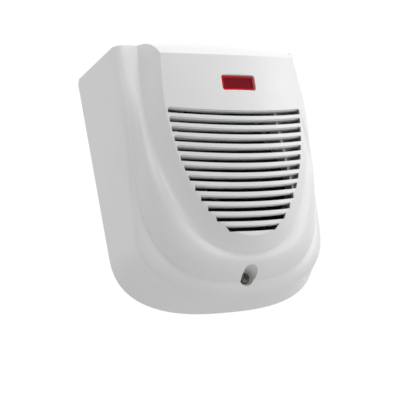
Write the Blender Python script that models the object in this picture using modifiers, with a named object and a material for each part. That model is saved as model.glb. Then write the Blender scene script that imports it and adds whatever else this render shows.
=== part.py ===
"""Wall-mounted alarm siren: a moulded cover on a base plate, with a horn speaker inside.

Frame: the wall is the plane y = 0, the front faces -Y and +Z is up.  The origin is the centre of
the mounting face.  Depths (d) are distances in front of the wall, so y = -d.
"""
import math

import bmesh
import bpy
from mathutils import Matrix, Vector

MM = 0.001
GAP = 0.3 * MM                 # free gap between neighbouring pieces

# ---- cover ---------------------------------------------------------------------------------
HALF_W = 69.8 * MM             # half width at the wall
TOP_Z = 77.7 * MM              # flat top
BOTTOM_Z = -77.0 * MM          # lowest point of the arc at the wall
WALL = 2.4 * MM                # moulded wall thickness
TOP_FRONT = 62.4 * MM          # half width of the side wall's front end at the top
LIP_D = 20.0 * MM              # depth of the lower lip
COLLAR_D = 46.4 * MM           # depth of the collar's crest at the top
PANEL_D = COLLAR_D + 16.3 * MM # depth of the convex panel at PANEL_Z
PANEL_Z = 4.25 * MM
PANEL_SLOPE = 0.2267           # the panel leans forward towards the top ...
PANEL_CURVE = -0.842           # ... less and less (1/m)
PANEL_CROWN = 4.07             # fall of the panel per half width squared (1/m)
ROLL_D = 40.0 * MM             # where the flat top starts to roll down to the front
ROLL_R = 36.7 * MM             # radius of the roll at the middle ...
ROLL_TIGHTER = 4.55            # ... and its fall per half width squared (1/m)

# ---- louvres -------------------------------------------------------------------------------
SLOT_COUNT = 13
SLOT_PITCH = 5.4 * MM
SLOT_TOP_Z = 23.1 * MM         # middle of the first slot
SLOT_H = 3.3 * MM
SLOT_SMILE = 2.77              # rise of a slot's ends per half width squared (1/m)
SLOT_RAKE = 0.24               # rise of the passage per unit of depth
SLOT_FLARE = 0.5               # widening of each end per unit of depth
CHAMFER = 1.3 * MM             # depth of the chamfer under each blade
GRILLE_HALF_W = 43.0 * MM
GRILLE_Z = 36.0 * MM
GRILLE_H = 83.0 * MM
LOUVRE_DEEP = 4.4 * MM         # extra depth of the louvre blades behind the wall

# ---- window and screw well -----------------------------------------------------------------
WINDOW_Z = 41.5 * MM
WINDOW_W = 22.2 * MM
WINDOW_H = 9.2 * MM
WELL_Z = BOTTOM_Z + 12.6 * MM
WELL_R = 4.9 * MM
WELL_FLOOR = LIP_D + 4.6 * MM  # depth of the back of the well's floor
WELL_FLOOR_T = 2.2 * MM
SHANK_R = 1.5 * MM

# ---- hinge ---------------------------------------------------------------------------------
HINGE_D = 4.6 * MM
HINGE_Z = TOP_Z - 3.7 * MM
PIN_R = 0.9 * MM
HOOK_X = 30.0 * MM
RIB_X = (26.8 * MM - HALF_W, 0.0, HALF_W - 26.8 * MM)

# ---- base and inside -----------------------------------------------------------------------
PLATE_T = 2.4 * MM
PLATE_TOP = TOP_Z - 7.9 * MM
HORN_Z = -4.0 * MM
MOUTH_R = 35.0 * MM
MOUTH_D = (LIP_D + COLLAR_D) / 2 + 3.2 * MM
THROAT_R = 7.0 * MM
THROAT_D = 12.2 * MM
POST_OFF = (MOUTH_R + 8.84 * MM) / math.sqrt(2)          # the mouth's corner ears
BOARD_D = 8.0 * MM
BOARD_T = 1.6 * MM
BOARD = (-50.0 * MM, TOP_Z - 38.9 * MM, 50.0 * MM, TOP_Z - 11.3 * MM)   # x0, z0, x1, z1
SWITCH = (15.8 * MM - HALF_W, 20.0 * MM)                 # x, z of the tamper plunger
CABLE = (HALF_W - 25.8 * MM, BOTTOM_Z + 31.0 * MM)       # x, z of the cable entry

for thing in list(bpy.data.objects):
    bpy.data.objects.remove(thing, do_unlink=True)
PARTS = bpy.data.collections.new("alarm_siren")
TOOLS = bpy.data.collections.new("cutters")
for group in (PARTS, TOOLS):
    bpy.context.scene.collection.children.link(group)


# ---- helpers -------------------------------------------------------------------------------
def material(name, colour, roughness, metallic=0.0, alpha=1.0):
    mat = bpy.data.materials.new(name)
    mat.use_nodes = True
    shader = mat.node_tree.nodes["Principled BSDF"]
    shader.inputs["Base Color"].default_value = (*colour, 1.0)
    shader.inputs["Roughness"].default_value = roughness
    shader.inputs["Metallic"].default_value = metallic
    shader.inputs["Alpha"].default_value = alpha
    mat.diffuse_color = (*colour, 1.0)
    return mat


def new_object(name, mesh, mat=None, parent=None):
    obj = bpy.data.objects.new(name, mesh)
    if mat is None:
        TOOLS.objects.link(obj)
        obj.hide_render = True
        obj.display_type = "WIRE"
    else:
        PARTS.objects.link(obj)
        mesh.materials.append(mat)
    if parent is not None:
        obj.parent = parent
    return obj


def finish(bm, name, mat=None, smooth=None):
    bmesh.ops.recalc_face_normals(bm, faces=bm.faces)
    mesh = bpy.data.meshes.new(name)
    bm.to_mesh(mesh)
    bm.free()
    if smooth is not None:
        mesh.shade_smooth()
        mesh.set_sharp_from_angle(angle=math.radians(smooth))
    return new_object(name, mesh, mat)


def boolean(obj, other, how="DIFFERENCE"):
    mod = obj.modifiers.new(how.lower() + "_" + other.name, "BOOLEAN")
    mod.operation = how
    mod.solver = "EXACT"
    mod.object = other
    return obj


def block(name, x, d, z, mat=None, bevel=0.0, segments=2):
    """A box between the limits x, d and z, each a pair."""
    bm = bmesh.new()
    bmesh.ops.create_cube(bm, size=1.0)
    size = Vector((x[1] - x[0], d[1] - d[0], z[1] - z[0]))
    mid = Vector(((x[0] + x[1]) / 2, -(d[0] + d[1]) / 2, (z[0] + z[1]) / 2))
    bmesh.ops.transform(bm, matrix=Matrix.Diagonal((*size, 1.0)), verts=bm.verts)
    obj = finish(bm, name, mat)
    obj.location = mid
    if bevel:
        mod = obj.modifiers.new("edges", "BEVEL")
        mod.width = bevel
        mod.segments = segments
    return obj


def peg(name, x, z, d, r, mat=None, r_end=None, steps=24):
    """A round peg along the depth, from d[0] to d[1]."""
    bm = bmesh.new()
    bmesh.ops.create_cone(bm, cap_ends=True, segments=steps, radius1=r,
                          radius2=r if r_end is None else r_end, depth=d[1] - d[0])
    obj = finish(bm, name, mat, 35)
    obj.rotation_euler = (math.pi / 2, 0, 0)
    obj.location = (x, -(d[0] + d[1]) / 2, z)
    return obj


def turned(name, profile, x, z, mat=None, steps=32, closed=False, d=0.0):
    """A turned piece about an axis along the depth; the profile is (radius, depth) pairs."""
    bm = bmesh.new()
    verts = [bm.verts.new((r, 0, h)) for r, h in profile]
    for a, b in zip(verts, verts[1:]):
        bm.edges.new((a, b))
    if closed:
        bm.edges.new((verts[-1], verts[0]))
    mesh = bpy.data.meshes.new(name)
    bm.to_mesh(mesh)
    bm.free()
    obj = new_object(name, mesh, mat)
    mod = obj.modifiers.new("turn", "SCREW")
    mod.axis = "Z"
    mod.angle = 2 * math.pi
    mod.steps = mod.render_steps = steps
    mod.use_merge_vertices = True
    mod.merge_threshold = 0.00001
    mod.use_smooth_shade = False
    obj.rotation_euler = (math.pi / 2, 0, 0)
    obj.location = (x, -d, z)
    return obj


def outline_slab(name, points, d, mat=None):
    """A flat outline of (x, z) points between two depths, made from a filled 2D curve."""
    curve = bpy.data.curves.new(name, "CURVE")
    curve.dimensions = "2D"
    curve.fill_mode = "BOTH"
    curve.extrude = (d[1] - d[0]) / 2
    spline = curve.splines.new("POLY")
    spline.points.add(len(points) - 1)
    for point, (x, z) in zip(spline.points, points):
        point.co = (x, z, 0, 1)
    spline.use_cyclic_u = True
    source = bpy.data.objects.new(name + "_outline", curve)
    PARTS.objects.link(source)
    source.rotation_euler = (math.pi / 2, 0, 0)
    source.location = (0, -(d[0] + d[1]) / 2, 0)
    return curve_to_mesh(source, name, mat)


def curve_to_mesh(source, name, mat=None):
    bpy.context.view_layer.update()
    graph = bpy.context.evaluated_depsgraph_get()
    mesh = bpy.data.meshes.new_from_object(source.evaluated_get(graph))
    matrix = source.matrix_world.copy()
    data = source.data
    bpy.data.objects.remove(source)
    bpy.data.curves.remove(data)
    bm = bmesh.new()
    bm.from_mesh(mesh)
    bmesh.ops.remove_doubles(bm, verts=bm.verts, dist=0.00001)
    bmesh.ops.recalc_face_normals(bm, faces=bm.faces)
    bm.to_mesh(mesh)
    bm.free()
    mesh.name = name
    mesh.materials.clear()
    obj = new_object(name, mesh, mat)
    obj.matrix_world = matrix
    return obj


def wire(name, points, radius, mat):
    curve = bpy.data.curves.new(name, "CURVE")
    curve.dimensions = "3D"
    curve.bevel_depth = radius
    curve.bevel_resolution = 2
    curve.use_fill_caps = True
    spline = curve.splines.new("POLY")
    spline.points.add(len(points) - 1)
    for point, (x, d, z) in zip(spline.points, points):
        point.co = (x, -d, z, 1)
    source = bpy.data.objects.new(name + "_path", curve)
    PARTS.objects.link(source)
    return curve_to_mesh(source, name, mat)


def smooth_path(knots, count):
    """Catmull-Rom points through the knots."""
    pts = [Vector(k) for k in knots]
    pts = [2 * pts[0] - pts[1]] + pts + [2 * pts[-1] - pts[-2]]
    out = []
    for i in range(1, len(pts) - 2):
        a, b, c, e = pts[i - 1:i + 3]
        for k in range(count):
            t = k / count
            out.append(0.5 * ((2 * b) + (c - a) * t + (2 * a - 5 * b + 4 * c - e) * t * t
                              + (3 * b - a - 3 * c + e) * t ** 3))
    out.append(pts[-2])
    return [tuple(p) for p in out]


def ease(value, low, high):
    t = min(1.0, max(0.0, (value - low) / (high - low)))
    return t * t * (3 - 2 * t)


# ---- the cover's sculpted surface -------------------------------------------------------------
def panel_depth(x, z):
    h = z - PANEL_Z
    return PANEL_D + PANEL_SLOPE * h + PANEL_CURVE * h * h - PANEL_CROWN * x * x


# Nested U-shaped lines, outermost first, in mm.  Each has: how far it lies inside HALF_W at its
# widest; the heights of its shoulder and of its lowest point above BOTTOM_Z; the exponent of its
# lower curve; how far inside TOP_FRONT it is at the top; how far behind COLLAR_D it is at the top
# and in front of LIP_D at the bottom; and the heights between which that depth changes.
LINES = (
    ("lip", 6.0, 43.0, 2.4, 2.3, 0.0, 4.9, 0.0, 38, 130),
    ("lip_roll", 6.8, 46.0, 3.8, 2.35, 0.7, 3.5, 4.6, 38, 130),
    ("skirt", 8.4, 59.0, 6.7, 2.42, 1.7, 2.3, 8.2, 38, 130),
    ("crease", 9.6, 71.0, 10.1, 2.5, 2.7, 1.4, 9.6, 40, 130),
    ("collar_foot", 10.8, 75.0, 11.6, 2.5, 3.7, 0.8, 12.8, 40, 129),
    ("collar_side", 12.2, 83.0, 14.4, 2.45, 5.6, 0.3, 17.0, 38, 126),
    ("collar_crest", 13.8, 99.0, 19.5, 2.36, 8.8, 0.0, 20.8, 24, 106),
    ("valley", 16.0, 109.0, 23.5, 2.28, 12.6, 0.4, 20.4, 17, 72),
    ("flank_low", 17.8, 111.0, 25.8, 2.22, 14.8, -1.0, 22.6, 17, 87),
    ("flank", 20.9, 113.0, 28.4, 2.12, 17.0, -9.2, 25.8, 17, 137),
)
PANEL_IN = 24.2                # the panel's edge inside HALF_W ...
PANEL_TOP_IN = 19.2            # ... and inside TOP_FRONT at the top
PANEL_LINES = ((1.0, 31.2), (0.68, 39.0), (0.34, 47.0), (0.0, 57.0))   # share of width, lowest point
ROWS_UP = 6
ROWS_LOW = 12
ABOVE = 92.0 * MM              # the surface is made past the top and trimmed


def u_line(half, shoulder, low, power, top):
    """Right-hand half of a U-line from the top to its lowest point, as (x, z)."""
    rows = []
    for k in range(ROWS_UP):
        z = ABOVE + (shoulder - ABOVE) * k / ROWS_UP
        share = (z - shoulder) / (TOP_Z - shoulder)
        rows.append((half + (top - half) * share ** 1.7, z))
    for k in range(ROWS_LOW + 1):
        angle = math.pi / 2 * (k / ROWS_LOW) ** 1.3
        x = half * max(math.cos(angle), 0.0) ** (2 / power)
        z = shoulder - (shoulder - low) * math.sin(angle) ** (2 / power)
        rows.append((0.0 if k == ROWS_LOW else x, z))
    return rows


def surface_lines(inset=0.0, deep=0.0):
    """The surface's right-hand half, one list of (x, depth, z) points a line, outermost first."""
    wall_d = -1.0 * MM if inset else 0.0
    wall = u_line(HALF_W - inset, BOTTOM_Z + 40 * MM, BOTTOM_Z + inset, 2.6, HALF_W - inset)
    lines = [[(x, wall_d, z) for x, z in wall]]
    for _, inside, shoulder, low, power, inside_top, behind, ahead, z_low, z_high in LINES:
        rows = u_line(HALF_W - inside * MM - inset, BOTTOM_Z + shoulder * MM,
                      BOTTOM_Z + low * MM + inset, power, TOP_FRONT - inside_top * MM - inset)
        d_top, d_low = COLLAR_D - behind * MM, LIP_D + ahead * MM
        lines.append([(x, d_low + (d_top - d_low)
                       * ease(z, BOTTOM_Z + z_low * MM, BOTTOM_Z + z_high * MM) - inset, z)
                      for x, z in rows])
    for share, low in PANEL_LINES:
        edge_inset = inset if share == 1.0 else 0.0
        rows = u_line((HALF_W - PANEL_IN * MM) * share - edge_inset, BOTTOM_Z + 115 * MM,
                      BOTTOM_Z + low * MM + edge_inset, 2.0,
                      (TOP_FRONT - PANEL_TOP_IN * MM) * share - edge_inset)
        lines.append([(x, panel_depth(x, z) - inset
                       - (deep * ease(-z, -33 * MM, -26 * MM) if inset else 0.0), z)
                      for x, z in rows])
    return lines


def sculpted_solid(name, mat=None, inset=0.0, deep=0.0):
    """The solid behind the sculpted surface, down to the wall and up past the top."""
    bm = bmesh.new()
    rings = []
    lines = surface_lines(inset, deep)
    for line in lines:
        right = [bm.verts.new((x, -d, z)) for x, d, z in line]
        if line is lines[-1]:
            left = right
        else:
            left = [bm.verts.new((-v.co.x, v.co.y, v.co.z)) for v in right[:-1]] + [right[-1]]
        rings.append((right, left))
    for (outer_r, outer_l), (inner_r, inner_l) in zip(rings, rings[1:]):
        for side, (outer, inner) in enumerate(((outer_r, inner_r), (outer_l, inner_l))):
            for k in range(len(outer) - 1):
                quad = (outer[k], outer[k + 1], inner[k + 1], inner[k])
                bm.faces.new(quad if side == 0 else quad[::-1])
    tops = [ring[0][0] for ring in rings] + [ring[1][0] for ring in rings[-2::-1]]
    bm.faces.new(tops)
    back = rings[0][0] + rings[0][1][-2::-1]
    bm.faces.new(back)
    bmesh.ops.recalc_face_normals(bm, faces=bm.faces)
    bmesh.ops.triangulate(bm, faces=bm.faces)
    return finish(bm, name, mat)


def top_space(name, inset=0.0):
    """The space under the flat top, with a roll at its front that tightens towards the sides."""
    bm = bmesh.new()
    rings = []
    for x in (-100, -50, -40, -30, -20, -10, 0, 10, 20, 30, 40, 50, 100):
        radius = ROLL_R - ROLL_TIGHTER * (min(abs(x), 50) * MM) ** 2
        outline = [(-5 * MM, TOP_Z - inset), (ROLL_D, TOP_Z - inset)]
        for k in range(1, 8):
            angle = math.radians(70) * k / 7
            outline.append((ROLL_D + (radius - inset) * math.sin(angle),
                            TOP_Z - radius + (radius - inset) * math.cos(angle)))
        outline += [(115 * MM, 10 * MM), (115 * MM, BOTTOM_Z - 20 * MM), (-5 * MM, BOTTOM_Z - 20 * MM)]
        rings.append([bm.verts.new((x * MM, -d, z)) for d, z in outline])
    for a, b in zip(rings, rings[1:]):
        for k in range(len(a)):
            j = (k + 1) % len(a)
            bm.faces.new((a[k], a[j], b[j], b[k]))
    bm.faces.new(rings[0])
    bm.faces.new(rings[-1])
    bmesh.ops.recalc_face_normals(bm, faces=bm.faces)
    bmesh.ops.triangulate(bm, faces=bm.faces)
    return finish(bm, name)


def prism(name, outline, x0, x1, mat=None):
    """A prism along X over (depth, z) points."""
    bm = bmesh.new()
    face = bm.faces.new([bm.verts.new((x0, -d, z)) for d, z in outline])
    out = bmesh.ops.extrude_face_region(bm, geom=[face])
    moved = [v for v in out["geom"] if isinstance(v, bmesh.types.BMVert)]
    bmesh.ops.translate(bm, vec=(x1 - x0, 0, 0), verts=moved)
    return finish(bm, name, mat)


def slot_half_width(z):
    share = (GRILLE_Z - z) / GRILLE_H
    return GRILLE_HALF_W * math.sqrt(max(0.0, 1 - share * share))


def slot_cutter(index):
    """One louvre passage: it follows the panel's crown, rises and widens towards the inside, and its
    upper edge is chamfered.  Its ends follow the outline of the grille."""
    z_mid = SLOT_TOP_Z - index * SLOT_PITCH
    low, high = -SLOT_H / 2, SLOT_H / 2
    section = [(3 * MM, low), (3 * MM, high), (0.0, high), (-CHAMFER, high - 0.4 * CHAMFER),
               (-12 * MM, high - 0.4 * CHAMFER), (-12 * MM, low)]
    bm = bmesh.new()
    rings = []
    stations = 7
    for k in range(stations + 1):
        t = 2 * k / stations - 1
        ring = []
        for forward, height in section:
            half = slot_half_width(z_mid + height)
            half = slot_half_width(z_mid + SLOT_SMILE * half * half + height)
            x = t * half
            z = z_mid + SLOT_SMILE * x * x
            d = panel_depth(x, z) + forward
            ring.append(bm.verts.new((x * (1 + max(-forward, 0) * SLOT_FLARE / half), -d,
                                      z + height - forward * SLOT_RAKE)))
        rings.append(ring)
    for a, b in zip(rings, rings[1:]):
        for k in range(len(section)):
            j = (k + 1) % len(section)
            bm.faces.new((a[k], a[j], b[j], b[k]))
    bm.faces.new(rings[0])
    bm.faces.new(rings[-1])
    bmesh.ops.recalc_face_normals(bm, faces=bm.faces)
    bmesh.ops.triangulate(bm, faces=bm.faces)
    return finish(bm, f"slot_{index + 1}")


def panel_slab(name, half_x, z_range, front, back, mat=None):
    """A slab that follows the panel, between two offsets behind it."""
    bm = bmesh.new()
    grid = {}
    xs = [half_x * k / 3 for k in range(-3, 4)]
    zs = [z_range[0] + (z_range[1] - z_range[0]) * k / 2 for k in range(3)]
    for i, x in enumerate(xs):
        for j, z in enumerate(zs):
            for layer, off in enumerate((front, back)):
                grid[i, j, layer] = bm.verts.new((x, -(panel_depth(x, z) - off), z))
    for layer in (0, 1):
        for i in range(6):
            for j in range(2):
                bm.faces.new([grid[i, j, layer], grid[i + 1, j, layer],
                              grid[i + 1, j + 1, layer], grid[i, j + 1, layer]])
    rim = [(i, 0) for i in range(7)] + [(6, 1), (6, 2)] + [(i, 2) for i in range(5, -1, -1)] + [(0, 1)]
    for a, b in zip(rim, rim[1:] + rim[:1]):
        bm.faces.new([grid[*a, 0], grid[*b, 0], grid[*b, 1], grid[*a, 1]])
    return finish(bm, name, mat)


# ---- materials -------------------------------------------------------------------------------
WHITE = material("white_abs", (0.80, 0.80, 0.79), 0.38)
BASE_WHITE = material("base_abs", (0.74, 0.74, 0.72), 0.5)
RED_LENS = material("red_polycarbonate", (0.62, 0.02, 0.03), 0.12)
STEEL = material("zinc_plated_steel", (0.45, 0.44, 0.42), 0.35, 1.0)
DARK_STEEL = material("dark_steel", (0.22, 0.21, 0.20), 0.35, 1.0)
BLACK = material("black_abs", (0.015, 0.015, 0.016), 0.45)
FERRITE = material("ferrite", (0.035, 0.035, 0.037), 0.6)
BOARD_GREEN = material("board_green", (0.02, 0.16, 0.07), 0.4)
TERMINAL = material("terminal_green", (0.03, 0.30, 0.12), 0.45)
BRASS = material("brass", (0.62, 0.44, 0.18), 0.3, 1.0)
EPOXY = material("ic_epoxy", (0.02, 0.02, 0.022), 0.55)
CLEAR = material("clear_acrylic", (0.85, 0.87, 0.88), 0.1)
LED_RED = material("led_red", (0.7, 0.05, 0.04), 0.2)
CAN_BLUE = material("capacitor_sleeve", (0.03, 0.05, 0.16), 0.4)
WIRE_RED = material("wire_red", (0.55, 0.03, 0.02), 0.45)
WIRE_YELLOW = material("wire_yellow", (0.80, 0.58, 0.05), 0.45)
RUBBER = material("black_rubber", (0.03, 0.03, 0.03), 0.8)
FILM = material("diaphragm_film", (0.30, 0.20, 0.06), 0.4)
ALU = material("aluminium", (0.66, 0.67, 0.68), 0.4, 1.0)
BUTTON = material("switch_button", (0.75, 0.70, 0.55), 0.5)

# ---- joint empties --------------------------------------------------------------------------
hinge = bpy.data.objects.new("cover_hinge", None)
PARTS.objects.link(hinge)
hinge.location = (0, -HINGE_D, HINGE_Z)


def ride(obj, empty):
    """Parent to an empty without moving the piece."""
    obj.parent = empty
    obj.matrix_parent_inverse = Matrix.Translation(-empty.location)


# ---- front cover ------------------------------------------------------------------------------
cover = sculpted_solid("front_cover", WHITE)
boolean(cover, top_space("cover_top"), "INTERSECT")
cavity = sculpted_solid("cover_cavity", None, WALL, LOUVRE_DEEP)
boolean(cavity, top_space("cavity_top", WALL), "INTERSECT")
boolean(cavity, peg("well_tube", 0, WELL_Z, (WELL_FLOOR, 60 * MM), 6.9 * MM))
for n, x in enumerate(RIB_X):
    boolean(cavity, block(f"pin_rib_{n + 1}", (x - 2 * MM, x + 2 * MM), (2.2 * MM, 8.0 * MM),
                          (HINGE_Z - 2.2 * MM, HINGE_Z + 6.4 * MM)))
boolean(cavity, peg("switch_post", *SWITCH, (19.2 * MM, 70 * MM), 2.6 * MM))
boolean(cover, cavity)
for n in range(SLOT_COUNT):
    boolean(cover, slot_cutter(n))
window = block("window_cut", (-WINDOW_W / 2, WINDOW_W / 2), (50 * MM, 90 * MM),
               (WINDOW_Z - WINDOW_H / 2, WINDOW_Z + WINDOW_H / 2), None, 1.6 * MM, 4)
boolean(cover, window)
boolean(cover, peg("well_bore", 0, WELL_Z, (WELL_FLOOR + WELL_FLOOR_T, 70 * MM), WELL_R))
boolean(cover, peg("shank_hole", 0, WELL_Z, (10 * MM, 40 * MM), SHANK_R + 0.6 * MM))
pin_hole = peg("pin_hole", 0, 0, (RIB_X[0] - 3 * MM, RIB_X[2] + 3 * MM), PIN_R + GAP, steps=12)
pin_hole.rotation_euler = (0, math.pi / 2, 0)
pin_hole.location = (0, -HINGE_D, HINGE_Z)
boolean(cover, pin_hole)
relief = [(d * MM, TOP_Z + h * MM) for d, h in ((-2, -5.3), (0.15, -2.6), (2.1, 0.2), (2.1, 2.7), (-2, 2.7))]
boolean(cover, prism("rear_relief", relief, -HALF_W - 10 * MM, HALF_W + 10 * MM))
ride(cover, hinge)

lens = panel_slab("indicator_lens", WINDOW_W / 2 + MM, (WINDOW_Z - WINDOW_H / 2 - MM,
                  WINDOW_Z + WINDOW_H / 2 + MM), 0.8 * MM, 4.0 * MM, RED_LENS)
boolean(lens, block("lens_sides", (GAP - WINDOW_W / 2, WINDOW_W / 2 - GAP), (50 * MM, 90 * MM),
                    (WINDOW_Z - WINDOW_H / 2 + GAP, WINDOW_Z + WINDOW_H / 2 - GAP), None, 1.3 * MM, 4),
        "INTERSECT")
boolean(lens, panel_slab("lens_flange", WINDOW_W / 2 + 2.2 * MM, (WINDOW_Z - WINDOW_H / 2 - 2 * MM,
        WINDOW_Z + WINDOW_H / 2 + 2 * MM), WALL + 0.7 * MM, WALL + 2.1 * MM), "UNION")
ride(lens, hinge)

pin = peg("hinge_pin", 0, 0, (RIB_X[0] - 2.6 * MM, RIB_X[2] + 2.6 * MM), PIN_R, STEEL, steps=12)
pin.rotation_euler = (0, math.pi / 2, 0)
pin.location = (0, -HINGE_D, HINGE_Z)
ride(pin, hinge)

# ---- cover screw --------------------------------------------------------------------------------
screw_axis = bpy.data.objects.new("cover_screw_axis", None)
PARTS.objects.link(screw_axis)
HEAD_D = WELL_FLOOR + WELL_FLOOR_T + GAP
screw_axis.location = (0, -HEAD_D, WELL_Z)
head = [(0, HEAD_D + 2.5 * MM), (1.6 * MM, HEAD_D + 2.4 * MM), (2.7 * MM, HEAD_D + 1.9 * MM),
        (3.4 * MM, HEAD_D + 0.9 * MM), (3.5 * MM, HEAD_D), (SHANK_R, HEAD_D),
        (SHANK_R, 20.6 * MM), (0.9 * MM, 19.6 * MM), (0, 19.4 * MM)]
screw = turned("cover_screw", head, 0, WELL_Z, DARK_STEEL, 24)
for n, turn in enumerate((0, math.pi / 2)):
    arm = block(f"phillips_arm_{n + 1}", (-1.9 * MM, 1.9 * MM), (HEAD_D + 1.2 * MM, HEAD_D + 4 * MM),
                (WELL_Z - 0.4 * MM, WELL_Z + 0.4 * MM))
    arm.rotation_euler = (0, turn + math.radians(20), 0)
    boolean(screw, arm)
ride(screw, screw_axis)
ride(screw_axis, hinge)

# ---- base plate -----------------------------------------------------------------------------------
plate_line = u_line(HALF_W - 4.0 * MM, BOTTOM_Z + 43 * MM, BOTTOM_Z + 3.8 * MM, 2.5, HALF_W - 4.0 * MM)
right_side = [(HALF_W - 4.0 * MM, PLATE_TOP)] + [(x, z) for x, z in plate_line if z < PLATE_TOP]
outline = right_side + [(-x, z) for x, z in right_side[-2::-1]]
base = outline_slab("base_plate", outline, (0, PLATE_T), BASE_WHITE)


def post(name, x, z, top, r, bore, bore_bottom=5 * MM):
    boolean(base, peg(name, x, z, (1 * MM, top), r, steps=14), "UNION")
    boolean(base, peg(name + "_bore", x, z, (bore_bottom, top + 5 * MM), bore, steps=10))


hook = [(d * MM, HINGE_Z + h * MM) for d, h in
        ((2, -13.6), (2, -5.2), (3.5, -1.4), (6.1, -1.4), (6.1, 0.6), (8.1, 0.6), (8.1, -3.6), (5.6, -13.6))]
for n, x in enumerate((-HOOK_X, HOOK_X)):
    boolean(base, prism(f"hook_{n + 1}", hook, x - 3.5 * MM, x + 3.5 * MM), "UNION")
post("screw_post", 0, WELL_Z, 23.6 * MM, 4.6 * MM, 2.9 * MM)
for n, (sx, sz) in enumerate(((-1, 1), (1, 1), (-1, -1), (1, -1))):
    post(f"horn_post_{n + 1}", sx * POST_OFF, HORN_Z + sz * POST_OFF, MOUTH_D - 2.3 * MM - GAP,
         3.6 * MM, 1.6 * MM, 24 * MM)
for n, x in enumerate((-44 * MM, 44 * MM)):
    post(f"board_post_{n + 1}", x, BOARD[3] - 4 * MM, BOARD_D - GAP, 3.2 * MM, 1.5 * MM, 3.6 * MM)
for n, x in enumerate((-14 * MM, 14 * MM)):
    boolean(base, peg(f"keyhole_head_{n + 1}", x, 50 * MM, (-3 * MM, 5 * MM), 4.2 * MM))
    boolean(base, block(f"keyhole_neck_{n + 1}", (x - 2.2 * MM, x + 2.2 * MM), (-3 * MM, 5 * MM),
                        (50 * MM, 58 * MM)))
boolean(base, peg("fixing_hole", 0, -44 * MM, (-3 * MM, 5 * MM), 2.4 * MM))
boolean(base, peg("cable_hole", *CABLE, (-3 * MM, 6 * MM), 6.3 * MM))
for n, x in enumerate((-20 * MM, 20 * MM)):
    boolean(base, block(f"drain_{n + 1}", (x - 4 * MM, x + 4 * MM), (-2 * MM, 6 * MM),
                        (BOTTOM_Z - 3 * MM, BOTTOM_Z + 8 * MM)))

grommet = turned("cable_grommet", [(8.6 * MM, 4.3 * MM), (8.6 * MM, 2.7 * MM), (6.0 * MM, 2.7 * MM),
                 (6.0 * MM, 0.1 * MM), (3.4 * MM, 0.1 * MM), (3.0 * MM, 1.5 * MM), (3.4 * MM, 4.3 * MM)],
                 *CABLE, RUBBER, 24, True)

insert = turned("threaded_insert", [(2.6 * MM, 23.4 * MM), (2.6 * MM, 16 * MM), (2.15 * MM, 16 * MM),
                (2.15 * MM, 23.4 * MM)], 0, WELL_Z, BRASS, 24, True)

# ---- horn speaker -----------------------------------------------------------------------------------
FLARE = []
for n in range(7):
    s = n / 6
    FLARE.append((THROAT_R + (MOUTH_R - THROAT_R) * s ** 1.7,
                  THROAT_D + (MOUTH_D - THROAT_D) * (0.12 + 0.88 * s)))
outer = [(r + 1.7 * MM, d - 0.6 * MM) for r, d in FLARE]
profile = ([(MOUTH_R + 2.6 * MM, MOUTH_D), (MOUTH_R + 2.6 * MM, MOUTH_D - 2.3 * MM)]
           + outer[-2::-1] + [(22 * MM, THROAT_D + 2.0 * MM), (22 * MM, THROAT_D), (THROAT_R, THROAT_D)]
           + FLARE)
horn = turned("horn_flare", profile, 0, HORN_Z, BLACK, 32, True)
for n, (sx, sz) in enumerate(((-1, 1), (1, 1), (-1, -1), (1, -1))):
    x, z = sx * POST_OFF, HORN_Z + sz * POST_OFF
    ear = peg(f"horn_ear_{n + 1}", x, z, (MOUTH_D - 2.3 * MM, MOUTH_D), 4.6 * MM, steps=14)
    web = block(f"horn_web_{n + 1}", (-4.6 * MM, 4.6 * MM), (MOUTH_D - 2.3 * MM, MOUTH_D),
                (-10 * MM, 0))
    web.rotation_euler = (0, math.atan2(sx, sz), 0)
    web.location = (x - sx * 2.8 * MM, web.location.y, z - sz * 2.8 * MM)
    boolean(horn, ear, "UNION")
    boolean(horn, web, "UNION")
    boolean(horn, peg(f"ear_hole_{n + 1}", x, z, (MOUTH_D - 5 * MM, MOUTH_D + 5 * MM), 1.7 * MM, steps=10))
boolean(horn, turned("mouth_clear", [(0, MOUTH_D + 8 * MM), (MOUTH_R, MOUTH_D + 8 * MM)]
                     + FLARE[::-1] + [(THROAT_R, THROAT_D - 2 * MM), (0, THROAT_D - 2 * MM)],
                     0, HORN_Z, None, 32))

for n, (sx, sz) in enumerate(((-1, 1), (1, 1), (-1, -1), (1, -1))):
    top = MOUTH_D + GAP
    turned(f"horn_screw_{n + 1}", [(0, top + 1.7 * MM), (1.8 * MM, top + 1.5 * MM), (2.7 * MM, top + 0.6 * MM),
           (2.7 * MM, top), (1.25 * MM, top), (1.25 * MM, top - 9 * MM), (0, top - 10 * MM)],
           sx * POST_OFF, HORN_Z + sz * POST_OFF, STEEL, 16)

plug = turned("horn_phase_plug", [(0, 31 * MM), (2.4 * MM, 30 * MM), (4.6 * MM, 26 * MM), (5.2 * MM, 20 * MM),
              (4.2 * MM, 14.4 * MM), (0, 13.2 * MM)], 0, HORN_Z, BLACK, 24)
bar = block("plug_bar", (-9.3 * MM, 9.3 * MM), (20.5 * MM, 23.5 * MM), (HORN_Z - 0.9 * MM, HORN_Z + 0.9 * MM))
boolean(plug, bar, "UNION")

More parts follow.
